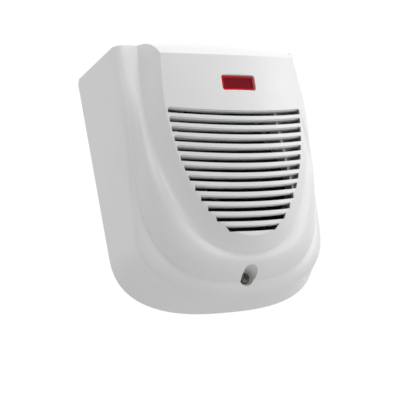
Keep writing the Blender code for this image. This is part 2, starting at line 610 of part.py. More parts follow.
turned("diaphragm", [(0, 11.5 * MM), (4 * MM, 11.75 * MM), (8 * MM, 11.3 * MM), (14 * MM, 11.3 * MM),
       (14 * MM, 10.95 * MM), (8 * MM, 10.95 * MM), (4 * MM, 11.3 * MM), (0, 11.1 * MM)], 0, HORN_Z, FILM, 32)
turned("driver_front_plate", [(21 * MM, 10.4 * MM), (21 * MM, 8.9 * MM), (9 * MM, 8.9 * MM), (9 * MM, 10.4 * MM)],
       0, HORN_Z, STEEL, 32, True)
turned("driver_magnet", [(19 * MM, 8.6 * MM), (19 * MM, 4.7 * MM), (10 * MM, 4.7 * MM), (10 * MM, 8.6 * MM)],
       0, HORN_Z, FERRITE, 32, True)
turned("driver_back_plate", [(0, 10.2 * MM), (7.4 * MM, 10.2 * MM), (7.4 * MM, 4.4 * MM), (21 * MM, 4.4 * MM),
       (21 * MM, 2.8 * MM), (0, 2.8 * MM)], 0, HORN_Z, STEEL, 32)

# ---- circuit board --------------------------------------------------------------------------------
x0, z0, x1, z1 = BOARD
TOPSIDE = BOARD_D + BOARD_T
board = block("circuit_board", (x0, x1), (BOARD_D, TOPSIDE), (z0, z1), BOARD_GREEN)
for n, x in enumerate((-44 * MM, 44 * MM)):
    boolean(board, peg(f"board_hole_{n + 1}", x, BOARD[3] - 4 * MM, (0, 20 * MM), 1.7 * MM, steps=12))
    top = TOPSIDE + GAP
    turned(f"board_screw_{n + 1}", [(0, top + 1.6 * MM), (1.8 * MM, top + 1.4 * MM), (2.6 * MM, top + 0.5 * MM),
           (2.6 * MM, top), (1.2 * MM, top), (1.2 * MM, 4.6 * MM), (0, 4.0 * MM)], x, BOARD[3] - 4 * MM,
           STEEL, 16)
FACE = TOPSIDE + GAP

terminal = block("terminal_block", (-46 * MM, -24 * MM), (FACE, FACE + 10 * MM), (44 * MM, 54 * MM), TERMINAL,
                 0.4 * MM, 1)
for n in range(4):
    x = -42.8 * MM + n * 5.2 * MM
    boolean(terminal, peg(f"terminal_well_{n + 1}", x, 49.6 * MM, (FACE + 5.5 * MM, FACE + 14 * MM), 2.15 * MM,
                          steps=16))
    boolean(terminal, block(f"wire_mouth_{n + 1}", (x - 1.6 * MM, x + 1.6 * MM),
                            (FACE + 1.4 * MM, FACE + 4.6 * MM), (40 * MM, 48 * MM)))
    head_d = FACE + 5.8 * MM
    driver = turned(f"terminal_screw_{n + 1}", [(0, head_d + 2.2 * MM), (1.7 * MM, head_d + 2.2 * MM),
                    (1.8 * MM, head_d + 2.0 * MM), (1.8 * MM, head_d), (0, head_d)], x, 49.6 * MM, STEEL, 16)
    boolean(driver, block(f"driver_slot_{n + 1}", (x - 2.5 * MM, x + 2.5 * MM),
                          (head_d + 1.3 * MM, head_d + 4 * MM), (49.25 * MM, 49.95 * MM)))

for n, x in enumerate((-5 * MM, 5 * MM)):
    turned(f"led_{n + 1}", [(0, FACE + 5.2 * MM), (1.1 * MM, FACE + 4.9 * MM), (1.5 * MM, FACE + 3.8 * MM),
           (1.5 * MM, FACE + 1.0 * MM), (1.9 * MM, FACE + 1.0 * MM), (1.9 * MM, FACE), (0, FACE)],
           x, WINDOW_Z, LED_RED, 16)
guide = block("light_guide", (-8.5 * MM, 8.5 * MM), (FACE + 5.7 * MM, 60.3 * MM),
              (WINDOW_Z - 2.3 * MM, WINDOW_Z + 2.3 * MM), CLEAR, 0.5 * MM, 2)
holder = block("light_guide_holder", (-12 * MM, 12 * MM), (FACE, FACE + 14 * MM), (WINDOW_Z - 3.0 * MM + 0.2 * MM,
               WINDOW_Z + 6 * MM), BLACK, 0.3 * MM, 1)
boolean(holder, block("holder_bore", (-8.9 * MM, 8.9 * MM), (FACE - 2 * MM, FACE + 20 * MM),
                      (WINDOW_Z - 6 * MM, WINDOW_Z + 2.7 * MM)))
chip = block("control_chip", (12 * MM, 22 * MM), (FACE, FACE + 3.4 * MM), (50 * MM, 57 * MM), EPOXY, 0.3 * MM, 1)
capacitor = turned("capacitor", [(0, FACE + 12 * MM), (4.6 * MM, FACE + 12 * MM), (5 * MM, FACE + 11.5 * MM),
                   (5 * MM, FACE + 1.6 * MM), (4.7 * MM, FACE + 1.1 * MM), (5 * MM, FACE + 0.6 * MM),
                   (4.8 * MM, FACE), (0, FACE)], 31 * MM, 48 * MM, CAN_BLUE, 24)
transistor = block("power_transistor", (36.5 * MM, 39.5 * MM), (FACE, FACE + 9 * MM), (44 * MM, 54 * MM), EPOXY,
                   0.3 * MM, 1)
sink = block("heat_sink", (39.9 * MM, 41.2 * MM), (FACE, FACE + 15 * MM), (42 * MM, 56 * MM), ALU)
for n, z in enumerate((43.2 * MM, 48.4 * MM, 53.6 * MM)):
    boolean(sink, block(f"fin_{n + 1}", (41 * MM, 46 * MM), (FACE, FACE + 15 * MM),
                        (z - 0.6 * MM, z + 0.6 * MM)), "UNION")
socket = block("lead_socket", (-19 * MM, -13.5 * MM), (FACE, FACE + 6 * MM), (42 * MM, 50 * MM), BASE_WHITE,
               0.3 * MM, 1)

# ---- tamper switch ---------------------------------------------------------------------------------
sx, sz = SWITCH
switch = block("tamper_switch", (sx - 3.2 * MM, sx + 3.2 * MM), (PLATE_T + GAP, 14 * MM),
               (sz - 6.5 * MM, sz + 6.5 * MM), BLACK, 0.4 * MM, 1)
boolean(switch, peg("plunger_bore", sx, sz, (9.5 * MM, 20 * MM), 2.05 * MM, steps=20))
plunger = turned("tamper_plunger", [(0, 18.7 * MM), (1.2 * MM, 18.4 * MM), (1.6 * MM, 17.8 * MM),
                 (1.6 * MM, 11.6 * MM), (0, 11.6 * MM)], sx, sz, BUTTON, 20)

# ---- speaker leads ------------------------------------------------------------------------------------
RED_PATH = [(-18.0, 16.3, 46.0), (-19.0, 24.0, 43.5), (-30.0, 27.0, 39.5), (-44.5, 26.0, 24.0),
            (-48.5, 25.0, 0.0), (-45.0, 25.0, -24.0), (-36.0, 27.0, -44.0), (-22.0, 31.0, -50.5),
            (-9.0, 31.0, -49.5), (-2.0, 20.0, -43.0), (-2.0, 9.0, -34.0), (-2.0, 6.5, -26.4)]
YELLOW_OFF = [(3.4, 0.0, 0.0), (2.4, 2.2, 0.6), (0.0, 3.2, 1.0), (0.6, 3.2, 0.0),
              (0.6, 3.2, 0.0), (0.6, 3.2, 0.0), (1.6, 3.0, 1.4), (1.0, 3.2, 1.6),
              (1.8, 3.2, 1.6), (3.4, 1.4, 0.4), (3.6, 0.0, 0.0), (3.6, 0.0, 0.0)]
for name, mat, share in (("lead_red", WIRE_RED, 0.0), ("lead_yellow", WIRE_YELLOW, 1.0)):
    knots = [tuple((p + share * q) * MM for p, q in zip(point, off))
             for point, off in zip(RED_PATH, YELLOW_OFF)]
    wire(name, smooth_path(knots, 2), 0.8 * MM, mat)
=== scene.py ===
"""Looks of the wall-mounted alarm siren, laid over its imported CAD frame."""
import math

import bmesh
import bpy
from mathutils import Matrix, Vector


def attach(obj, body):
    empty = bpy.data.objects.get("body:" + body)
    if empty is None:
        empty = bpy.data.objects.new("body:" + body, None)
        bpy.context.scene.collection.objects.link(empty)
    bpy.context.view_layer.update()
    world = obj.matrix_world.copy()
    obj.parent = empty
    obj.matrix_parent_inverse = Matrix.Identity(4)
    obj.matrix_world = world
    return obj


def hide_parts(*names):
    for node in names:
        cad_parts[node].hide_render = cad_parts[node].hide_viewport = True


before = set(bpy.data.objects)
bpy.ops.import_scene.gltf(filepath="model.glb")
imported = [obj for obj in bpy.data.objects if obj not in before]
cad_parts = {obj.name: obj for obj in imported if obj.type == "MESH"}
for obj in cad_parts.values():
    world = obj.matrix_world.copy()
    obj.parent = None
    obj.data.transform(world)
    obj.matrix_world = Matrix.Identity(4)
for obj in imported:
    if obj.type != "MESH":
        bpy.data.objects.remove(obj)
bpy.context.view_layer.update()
MM = 0.001

# ---- camera ------------------------------------------------------------------------------------
AZ, EL, ROLL = math.radians(-29.334), math.radians(-18.644), math.radians(12.007)
SHIFT_RIGHT, SHIFT_UP, DISTANCE, AIM_Z = -2.168, -7.385, 626.816, 4.25      # mm
back = Vector((math.sin(AZ) * math.cos(EL), -math.cos(AZ) * math.cos(EL), math.sin(EL)))
right = Vector((math.cos(AZ), math.sin(AZ), 0))
up = back.cross(right)
eye = (right * SHIFT_RIGHT + up * SHIFT_UP + back * DISTANCE + Vector((0, 0, AIM_Z))) * MM
cam_x = right * math.cos(ROLL) - up * math.sin(ROLL)
cam_y = right * math.sin(ROLL) + up * math.cos(ROLL)
camera = bpy.data.objects.new("camera", bpy.data.cameras.new("camera"))
bpy.context.scene.collection.objects.link(camera)
camera.matrix_world = Matrix((
    (cam_x.x, cam_y.x, back.x, eye.x),
    (cam_x.y, cam_y.y, back.y, eye.y),
    (cam_x.z, cam_y.z, back.z, eye.z),
    (0, 0, 0, 1)))
camera.data.lens = 90
camera.data.sensor_width = 36
camera.data.clip_end = 20
bpy.context.scene.camera = camera


# ---- materials ------------------------------------------------------------------------------------
class Nodes:
    """A small wrapper that adds and links shader nodes."""

    def __init__(self, name):
        self.mat = bpy.data.materials.new(name)
        self.mat.use_nodes = True
        self.tree = self.mat.node_tree
        self.shader = self.tree.nodes["Principled BSDF"]
        self.coord = self.tree.nodes.new("ShaderNodeTexCoord").outputs["Object"]

    def add(self, kind, **values):
        node = self.tree.nodes.new("ShaderNode" + kind)
        for key, value in values.items():
            node.inputs[key].default_value = value
        return node

    def calc(self, operation, *terms):
        """A math node over outputs and plain numbers."""
        node = self.add("Math")
        node.operation = operation
        for socket, term in zip(node.inputs, terms):
            if isinstance(term, (int, float)):
                socket.default_value = term
            else:
                self.link(term, socket)
        return node.outputs[0]

    def link(self, out, to):
        self.tree.links.new(out, to)

    def noise(self, scale, detail=3.0, stretch=None):
        node = self.add("TexNoise", Scale=scale, Detail=detail, Roughness=0.5)
        source = self.coord
        if stretch:
            mapping = self.add("Mapping")
            mapping.inputs["Scale"].default_value = stretch
            self.link(source, mapping.inputs["Vector"])
            source = mapping.outputs["Vector"]
        self.link(source, node.inputs["Vector"])
        return node.outputs["Fac"]

    def ramp(self, fac, *stops):
        node = self.add("ValToRGB")
        items = node.color_ramp.elements
        while len(items) < len(stops):
            items.new(0.5)
        for item, (at, colour) in zip(items, stops):
            item.position = at
            item.color = (*colour, 1.0)
        self.link(fac, node.inputs["Fac"])
        return node.outputs["Color"]

    def span(self, fac, low, high, from_low=0.3, from_high=0.7):
        node = self.add("MapRange")
        for key, value in (("From Min", from_low), ("From Max", from_high),
                           ("To Min", low), ("To Max", high)):
            node.inputs[key].default_value = value
        self.link(fac, node.inputs["Value"])
        return node.outputs["Result"]

    def bump(self, height, strength, distance, edge=0.0):
        node = self.add("Bump", Strength=strength, Distance=distance)
        self.link(height, node.inputs["Height"])
        if edge:
            bevel = self.add("Bevel", Radius=edge)
            bevel.samples = 6
            self.link(bevel.outputs["Normal"], node.inputs["Normal"])
        self.link(node.outputs["Normal"], self.shader.inputs["Normal"])

    def set(self, **values):
        names = {"metal": "Metallic", "coat": "Coat Weight", "coat_rough": "Coat Roughness",
                 "ior": "IOR", "trans": "Transmission Weight", "spec": "Specular IOR Level"}
        for key, value in values.items():
            self.shader.inputs[names[key]].default_value = value


def shade(colour, share):
    return tuple(max(0.0, c * share) for c in colour)


def moulded(name, colour, rough=0.4, grain=2600, depth=0.02, spec=0.5, edge=0.25, vary=0.04, coat=0.0):
    """Injection-moulded plastic: a fine spark-eroded grain and slight flow variation."""
    n = Nodes(name)
    n.set(spec=spec, coat=coat, coat_rough=0.25)
    flow = n.noise(38, 2)
    n.link(n.ramp(flow, (0.3, shade(colour, 1 - vary)), (0.7, shade(colour, 1 + vary * 0.4))),
           n.shader.inputs["Base Color"])
    n.link(n.span(n.noise(160, 3), rough - 0.04, rough + 0.05), n.shader.inputs["Roughness"])
    n.bump(n.noise(grain, 2), 0.35, depth * MM, edge * MM)
    return n.mat


def plated(name, colour, rough=0.3, stretch=None, grain=900, depth=0.01, edge=0.12):
    """Plated or turned metal with fine directional marks and a slightly clouded finish."""
    n = Nodes(name)
    n.set(metal=1.0)
    n.link(n.ramp(n.noise(260, 4), (0.3, shade(colour, 0.82)), (0.7, shade(colour, 1.12))),
           n.shader.inputs["Base Color"])
    n.link(n.span(n.noise(700, 3), rough - 0.07, rough + 0.12), n.shader.inputs["Roughness"])
    n.bump(n.noise(grain, 3, stretch), 0.4, depth * MM, edge * MM)
    return n.mat


WHITE = moulded("cover_white_abs", (0.80, 0.805, 0.80), 0.36, 2400, 0.012, 0.5, 0.35, 0.015)
INSIDE_WHITE = moulded("base_white_abs", (0.72, 0.72, 0.70), 0.5, 1800, 0.03, 0.4, 0.2, 0.05)
# black plastic with painted shade: its colour is pushed almost to zero so the inside seen through the slots
# stays dark
BLACK_PAINTED_SHADE = moulded("black_abs", (0.008, 0.008, 0.009), 0.62, 1500, 0.05, 0.3, 0.2, 0.2)
HEAD_STEEL = plated("dark_plated_steel", (0.20, 0.19, 0.18), 0.32)


# ---- the cover's sculpted surface, finer than the CAD one -------------------------------------------
HALF_W, TOP_Z, BOTTOM_Z = 69.8, 77.7, -77.0
WALL, TOP_FRONT, LIP_D, COLLAR_D = 2.4, 62.4, 20.0, 46.4
PANEL_D, PANEL_Z, PANEL_SLOPE, PANEL_CURVE, PANEL_CROWN = COLLAR_D + 16.3, 4.25, 0.2267, -0.000842, 0.00407
ROLL_D, ROLL_R, ROLL_TIGHTER = 40.0, 36.7, 0.00455
LINES = (                      # as the CAD's table: lines outermost first, in mm
    (6.0, 43.0, 2.4, 2.3, 0.0, 4.9, 0.0, 38, 130),
    (6.8, 46.0, 3.8, 2.35, 0.7, 3.5, 4.6, 38, 130),
    (8.4, 59.0, 6.7, 2.42, 1.7, 2.3, 8.2, 38, 130),
    (9.6, 71.0, 10.1, 2.5, 2.7, 1.4, 9.6, 40, 130),
    (10.8, 75.0, 11.6, 2.5, 3.7, 0.8, 12.8, 40, 129),
    (12.2, 83.0, 14.4, 2.45, 5.6, 0.3, 17.0, 38, 126),
    (13.8, 99.0, 19.5, 2.36, 8.8, 0.0, 20.8, 24, 106),
    (16.0, 109.0, 23.5, 2.28, 12.6, 0.4, 20.4, 17, 72),
    (17.8, 111.0, 25.8, 2.22, 14.8, -1.0, 22.6, 17, 87),
    (20.9, 113.0, 28.4, 2.12, 17.0, -9.2, 25.8, 17, 137),
)
PANEL_IN, PANEL_TOP_IN = 24.2, 19.2
SEGMENTS = ((0, 1), (1, 2, 3, 4), (4, 5, 6, 7, 8), (8, 9, 10, 11))      # smooth stretches across the lines
ROWS_UP, ROWS_LOW, ACROSS, PANEL_STEPS = 22, 44, 5, 13
ABOVE = 92.0


def ease(value, low, high):
    t = min(1.0, max(0.0, (value - low) / (high - low)))
    return t * t * (3 - 2 * t)


def panel_depth(x, z):
    h = z - PANEL_Z
    return PANEL_D + PANEL_SLOPE * h + PANEL_CURVE * h * h - PANEL_CROWN * x * x


def u_line(half, shoulder, low, power, top):
    rows = []
    for k in range(ROWS_UP):
        z = ABOVE + (shoulder - ABOVE) * k / ROWS_UP
        rows.append((half + (top - half) * ((z - shoulder) / (TOP_Z - shoulder)) ** 1.7, z))
    for k in range(ROWS_LOW + 1):
        angle = math.pi / 2 * (k / ROWS_LOW) ** 1.3
        x = 0.0 if k == ROWS_LOW else half * max(math.cos(angle), 0.0) ** (2 / power)
        rows.append((x, shoulder - (shoulder - low) * math.sin(angle) ** (2 / power)))
    return rows


def surface_lines(inset=0.0, deep=0.0):
    """Finely spaced lines of (x, depth, z) points over the right-hand half, outermost first."""
    rows = u_line(HALF_W - inset, BOTTOM_Z + 40, BOTTOM_Z + inset, 2.6, HALF_W - inset)
    key = [[Vector((x, -1.0 if inset else 0.0, z)) for x, z in rows]]
    for inside, shoulder, low, power, inside_top, behind, ahead, z_low, z_high in LINES:
        rows = u_line(HALF_W - inside - inset, BOTTOM_Z + shoulder, BOTTOM_Z + low + inset, power,
                      TOP_FRONT - inside_top - inset)
        d_top, d_low = COLLAR_D - behind, LIP_D + ahead
        line = []
        for x, z in rows:
            rise = ease(z, BOTTOM_Z + z_low, BOTTOM_Z + z_high)
            line.append(Vector((x, d_low + (d_top - d_low) * rise - inset, z)))
        key.append(line)
    panel = []
    for n in range(PANEL_STEPS + 1):
        share = 1 - n / PANEL_STEPS
        edge = inset if n == 0 else 0.0
        rows = u_line((HALF_W - PANEL_IN) * share - edge, BOTTOM_Z + 115,
                      BOTTOM_Z + 57 - 25.8 * share + edge, 2.0, (TOP_FRONT - PANEL_TOP_IN) * share - edge)
        panel.append([Vector((x, panel_depth(x, z) - inset - (deep * ease(-z, -33, -26) if inset else 0), z))
                      for x, z in rows])
    key.append(panel[0])
    lines = [key[0]]
    for segment in SEGMENTS:
        for i, (a, b) in enumerate(zip(segment, segment[1:])):
            before = segment[i - 1] if i else None
            after = segment[i + 2] if i + 2 < len(segment) else None
            for step in range(1, ACROSS + 1):
                t = step / ACROSS
                line = []
                for k, (p, q) in enumerate(zip(key[a], key[b])):
                    tan_p = (q - key[before][k]) / 2 if before is not None else q - p
                    tan_q = (key[after][k] - p) / 2 if after is not None else q - p
                    line.append(p * (2 * t ** 3 - 3 * t * t + 1) + tan_p * (t ** 3 - 2 * t * t + t)
                                + q * (3 * t * t - 2 * t ** 3) + tan_q * (t ** 3 - t * t))
                lines.append(line)
    return lines + panel[1:]


def to_object(bm, name, smooth=None):
    bmesh.ops.recalc_face_normals(bm, faces=bm.faces)
    mesh = bpy.data.meshes.new(name)
    bm.to_mesh(mesh)
    bm.free()
    obj = bpy.data.objects.new(name, mesh)
    bpy.context.scene.collection.objects.link(obj)
    if smooth is not None:
        mesh.shade_smooth()
        mesh.set_sharp_from_angle(angle=math.radians(smooth))
    return obj


def vert(bm, x, d, z):
    return bm.verts.new((x * MM, -d * MM, z * MM))


def sculpted_solid(name, inset=0.0, deep=0.0):
    bm = bmesh.new()
    rings = []
    lines = surface_lines(inset, deep)
    for line in lines:
        side = [vert(bm, *p) for p in line]
        other = side if line is lines[-1] else [vert(bm, -p.x, p.y, p.z) for p in line[:-1]] + [side[-1]]
        rings.append((side, other))
    for (outer_r, outer_l), (inner_r, inner_l) in zip(rings, rings[1:]):
        for flip, outer, inner in ((False, outer_r, inner_r), (True, outer_l, inner_l)):
            for k in range(len(outer) - 1):
                quad = (outer[k], outer[k + 1], inner[k + 1], inner[k])
                bm.faces.new(quad[::-1] if flip else quad)
    bm.faces.new([ring[0][0] for ring in rings] + [ring[1][0] for ring in rings[-2::-1]])
    bm.faces.new(rings[0][0] + rings[0][1][-2::-1])
    bmesh.ops.recalc_face_normals(bm, faces=bm.faces)
    bmesh.ops.triangulate(bm, faces=bm.faces)
    return to_object(bm, name)


def add_loft(bm, rings):
    """A closed solid through rings of the same number of points."""
    for a, b in zip(rings, rings[1:]):
        for k in range(len(a)):
            j = (k + 1) % len(a)
            bm.faces.new((a[k], a[j], b[j], b[k]))
    bm.faces.new(rings[0])
    bm.faces.new(rings[-1])


def add_prism(bm, outline, x0, x1):
    """A prism along X over (depth, z) points."""
    ends = [[vert(bm, x, d, z) for d, z in outline] for x in (x0, x1)]
    bm.faces.new(ends[0])
    bm.faces.new(ends[1][::-1])
    for k in range(len(outline)):
        j = (k + 1) % len(outline)
        bm.faces.new((ends[0][k], ends[1][k], ends[1][j], ends[0][j]))


def add_block(bm, x, d, z, corner=0.0, steps=6):
    """A box between pairs of limits, its corners rounded in the X-Z plane."""
    pts = []
    for cx, cz, start in ((x[1] - corner, z[1] - corner, 0), (x[0] + corner, z[1] - corner, 90),
                          (x[0] + corner, z[0] + corner, 180), (x[1] - corner, z[0] + corner, 270)):
        for k in range(steps + 1 if corner else 1):
            a = math.radians(start + 90 * k / steps)
            pts.append((cx + corner * math.cos(a), cz + corner * math.sin(a)))
    ends = [[vert(bm, px, depth, pz) for px, pz in pts] for depth in d]
    bm.faces.new(ends[0])
    bm.faces.new(ends[1][::-1])
    for k in range(len(pts)):
        j = (k + 1) % len(pts)
        bm.faces.new((ends[0][k], ends[1][k], ends[1][j], ends[0][j]))


def add_turned(bm, profile, x, z, steps=48):
    """A closed turned solid about an axis along the depth, through (radius, depth) pairs."""
    rings = []
    for r, d in profile:
        if r == 0:
            rings.append([vert(bm, x, d, z)])
        else:
            rings.append([vert(bm, x + r * math.cos(2 * math.pi * k / steps), d,
                               z + r * math.sin(2 * math.pi * k / steps)) for k in range(steps)])
    pairs = list(zip(rings, rings[1:]))
    if len(rings[0]) > 1 and len(rings[-1]) > 1:
        pairs.append((rings[-1], rings[0]))
    for a, b in pairs:
        for k in range(steps):
            j = (k + 1) % steps
            corners = [a[k % len(a)], a[j % len(a)], b[j % len(b)], b[k % len(b)]]
            bm.faces.new(list(dict.fromkeys(corners)))


def top_space(name, inset=0.0):
    """The space under the flat top, with a roll at its front that tightens towards the sides."""
    bm = bmesh.new()
    rings = []
    for x in [-100] + list(range(-50, 51, 4)) + [100]:
        radius = ROLL_R - ROLL_TIGHTER * min(abs(x), 50) ** 2
        outline = [(-5, TOP_Z - inset), (ROLL_D, TOP_Z - inset)]
        for k in range(1, 25):
            angle = math.radians(70) * k / 24
            outline.append((ROLL_D + (radius - inset) * math.sin(angle),
                            TOP_Z - radius + (radius - inset) * math.cos(angle)))
        outline += [(115, 10), (115, -97), (-5, -97)]
        rings.append([vert(bm, x, d, z) for d, z in outline])
    add_loft(bm, rings)
    bmesh.ops.recalc_face_normals(bm, faces=bm.faces)
    bmesh.ops.triangulate(bm, faces=bm.faces)
    return to_object(bm, name)


def cut(obj, bm, name, how="DIFFERENCE"):
    """Boolean of obj with a mesh that is then thrown away."""
    if isinstance(bm, bmesh.types.BMesh):
        bmesh.ops.triangulate(bm, faces=bm.faces)
    tool = to_object(bm, name) if isinstance(bm, bmesh.types.BMesh) else bm
    mod = obj.modifiers.new(name, "BOOLEAN")
    mod.operation, mod.solver, mod.object = how, "MANIFOLD", tool
    graph = bpy.context.evaluated_depsgraph_get()
    mesh = bpy.data.meshes.new_from_object(obj.evaluated_get(graph))
    obj.modifiers.remove(mod)
    old, obj.data = obj.data, mesh
    bpy.data.meshes.remove(old)
    bpy.data.objects.remove(tool)
    return obj


SLOT_COUNT, SLOT_PITCH, SLOT_TOP_Z, SLOT_H, SLOT_SMILE = 13, 5.4, 23.1, 3.3, 0.00277
SLOT_RAKE, SLOT_FLARE, CHAMFER = 0.24, 0.5, 1.3
GRILLE_HALF_W, GRILLE_Z, GRILLE_H = 43.0, 36.0, 83.0
WINDOW_Z, WINDOW_W, WINDOW_H = 41.5, 22.2, 9.2
WELL_Z, WELL_FLOOR, WELL_R = BOTTOM_Z + 12.6, LIP_D + 4.6, 4.9
WELL_FLOOR_T, SHANK_HOLE_R, WELL_BOSS_R = 2.2, 2.1, 6.9
HINGE_D, HINGE_Z, PIN_R = 4.6, TOP_Z - 3.7, 0.9
RIB_X, SWITCH_X, SWITCH_Z = 26.8 - HALF_W, 15.8 - HALF_W, 20.0
GAP = 0.3


def slot_half_width(z):
    share = (GRILLE_Z - z) / GRILLE_H
    return GRILLE_HALF_W * math.sqrt(max(0.0, 1 - share * share))


def add_slot(bm, index):
    """One louvre passage, its upper edge rounded towards the front and its ends on the grille's outline."""
    z_mid = SLOT_TOP_Z - index * SLOT_PITCH
    low, high = -SLOT_H / 2, SLOT_H / 2
    lip = [(-CHAMFER * math.sin(a), high - 0.4 * CHAMFER * (1 - math.cos(a)))
           for a in (math.radians(18 * k) for k in range(1, 6))]
    section = [(3, low), (3, high), (0, high)] + lip + [(-12, high - 0.4 * CHAMFER), (-12, low)]
    rings = []
    for k in range(26):
        t = 2 * k / 25 - 1
        ring = []
        for forward, height in section:
            half = slot_half_width(z_mid + height)
            half = slot_half_width(z_mid + SLOT_SMILE * half * half + height)
            x = t * half
            z = z_mid + SLOT_SMILE * x * x
            ring.append(vert(bm, x * (1 + max(-forward, 0) * SLOT_FLARE / half), panel_depth(x, z) + forward,
                             z + height - forward * SLOT_RAKE))
        rings.append(ring)
    add_loft(bm, rings)


def make_cover():
    cover = sculpted_solid("cover_shell")
    cut(cover, top_space("top"), "top", "INTERSECT")
    cavity = sculpted_solid("cover_hollow", WALL, 4.4)
    cut(cavity, top_space("hollow_top", WALL), "hollow_top", "INTERSECT")
    bm = bmesh.new()
    add_turned(bm, [(0, WELL_FLOOR), (WELL_BOSS_R, WELL_FLOOR), (WELL_BOSS_R, 60), (0, 60)], 0, WELL_Z)
    for x in (RIB_X, 0.0, -RIB_X):
        add_block(bm, (x - 2, x + 2), (2.2, 8.0), (HINGE_Z - 2.2, HINGE_Z + 6.4))
    add_turned(bm, [(0, 19.2), (2.6, 19.2), (2.6, 70), (0, 70)], SWITCH_X, SWITCH_Z)
    cut(cavity, bm, "bosses")
    cut(cover, cavity, "hollow")
    for n in range(SLOT_COUNT):
        bm = bmesh.new()
        add_slot(bm, n)
        cut(cover, bm, f"slot_{n + 1}")
    bm = bmesh.new()
    add_block(bm, (-WINDOW_W / 2, WINDOW_W / 2), (50, 90),
              (WINDOW_Z - WINDOW_H / 2, WINDOW_Z + WINDOW_H / 2), 1.6)
    seat = WELL_FLOOR + WELL_FLOOR_T
    add_turned(bm, [(0, 10), (SHANK_HOLE_R, 10), (SHANK_HOLE_R, seat), (WELL_R, seat),
                    (WELL_R, 70), (0, 70)], 0, WELL_Z)
    cut(cover, bm, "openings")
    bm = bmesh.new()
    relief = ((-2, -5.3), (0.15, -2.6), (2.1, 0.2), (2.1, 2.7), (-2, 2.7))
    add_prism(bm, [(d, TOP_Z + h) for d, h in relief], -80, 80)
    cut(cover, bm, "rear_relief")
    bm = bmesh.new()
    hole_r = (PIN_R + GAP) * MM
    along_pin = Matrix.Translation((0, -HINGE_D * MM, HINGE_Z * MM)) @ Matrix.Rotation(math.pi / 2, 4, "Y")
    bmesh.ops.create_cone(bm, cap_ends=True, segments=24, radius1=hole_r, radius2=hole_r,
                          depth=92 * MM, matrix=along_pin)
    cut(cover, bm, "pin_hole")
    cover.data.shade_smooth()
    cover.data.set_sharp_from_angle(angle=math.radians(26))
    return cover


def dress(obj, mat, body, *nodes):
    obj.data.materials.clear()
    obj.data.materials.append(mat)
    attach(obj, body)
    if nodes:
        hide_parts(*nodes)
    return obj


dress(make_cover(), WHITE, "cover", "front_cover")


# ---- indicator lens --------------------------------------------------------------------------------
RIB_SLANT, RIB_PITCH = 1.4, 1.1
RIM_OUTER, RIM_INNER = 1.2, 1.9
FLANGE_W, FLANGE_H = 13.2, 6.5


def make_lens():
    """A tinted tray: a raised rim round a ribbed middle, on the hidden flange that holds it in the cover."""
    half_w, half_h = WINDOW_W / 2 - 0.3, WINDOW_H / 2 - 0.3
    bm = bmesh.new()
    rings = []
    for inset, off in ((0.0, 3.2), (0.0, 1.1), (0.25, 0.8), (1.0, 0.75), (1.25, 0.95), (1.35, 1.45)):
        w, h, r = half_w - inset, half_h - inset, max(1.3 - inset * 0.7, 0.4)
        ring = []
        for cx, cz, start in ((w - r, h - r, 0), (r - w, h - r, 90),
                              (r - w, r - h, 180), (w - r, r - h, 270)):
            for k in range(7):
                a = math.radians(start + 15 * k)
                x, z = cx + r * math.cos(a), cz + r * math.sin(a)
                ring.append(vert(bm, x, panel_depth(x, WINDOW_Z + z) - off, WINDOW_Z + z))
        rings.append(ring)
    add_loft(bm, rings)
    bmesh.ops.triangulate(bm, faces=[f for f in bm.faces if len(f.verts) > 4])
    lens = to_object(bm, "indicator_lens_tray", 30)
    bm = bmesh.new()
    ends = []
    for off in (WALL + 0.75, WALL + 2.1):
        ring = []
        for x, z in ((-1, -1), (0, -1), (1, -1), (1, 1), (0, 1), (-1, 1)):
            x, z = x * FLANGE_W, WINDOW_Z + z * FLANGE_H
            ring.append(vert(bm, x, panel_depth(x, z) - off, z))
        ends.append(ring)
    add_loft(bm, ends)
    bmesh.ops.triangulate(bm, faces=bm.faces)
    return lens, to_object(bm, "indicator_lens_flange")


def red_plastic():
    """Tinted polycarbonate over fine slanting ribs, with a painted highlight that makes its rim brighter and
    painted light and shade in stripes along the ribs.
    """
    n = Nodes("red_polycarbonate")
    split = n.add("SeparateXYZ")
    n.link(n.coord, split.inputs["Vector"])
    slant = n.calc("MULTIPLY_ADD", split.outputs["Z"], RIB_SLANT, split.outputs["X"])
    wave = n.calc("SINE", n.calc("MULTIPLY", slant, 2 * math.pi / (RIB_PITCH * MM)))
    across = n.calc("ABSOLUTE", split.outputs["X"])
    upwards = n.calc("ABSOLUTE", n.calc("SUBTRACT", split.outputs["Z"], WINDOW_Z * MM))
    edge = n.calc("MAXIMUM", across, n.calc("ADD", upwards, (WINDOW_W - WINDOW_H) / 2 * MM))
    # painted highlight: the rim of the one tinted plastic is given a much brighter red than its middle
    painted_rim_highlight = n.span(edge, 0.0, 1.0, (WINDOW_W / 2 - RIM_INNER) * MM, (WINDOW_W / 2 - RIM_OUTER) * MM)
    # painted light and shade: darker and lighter red stripes follow the ribs' wave, standing for their lit
    # and shaded faces
    painted_rib_light_and_shade = n.ramp(n.span(wave, 0.0, 1.0, -1.0, 1.0), (0.1, (0.11, 0.0, 0.004)), (0.9, (0.27, 0.002, 0.010)))
    mix = n.add("MixRGB", Color2=(0.62, 0.002, 0.014, 1))
    n.link(painted_rim_highlight, mix.inputs["Fac"])
    n.link(painted_rib_light_and_shade, mix.inputs["Color1"])
    n.link(mix.outputs["Color"], n.shader.inputs["Base Color"])
    n.link(n.span(n.noise(400, 2), 0.10, 0.18), n.shader.inputs["Roughness"])
    n.set(ior=1.3)
    n.bump(wave, 0.12, 0.05 * MM)
    return n.mat


RED = red_plastic()
lens, flange = make_lens()
dress(lens, RED, "cover", "indicator_lens")
dress(flange, RED, "cover", "indicator_lens")


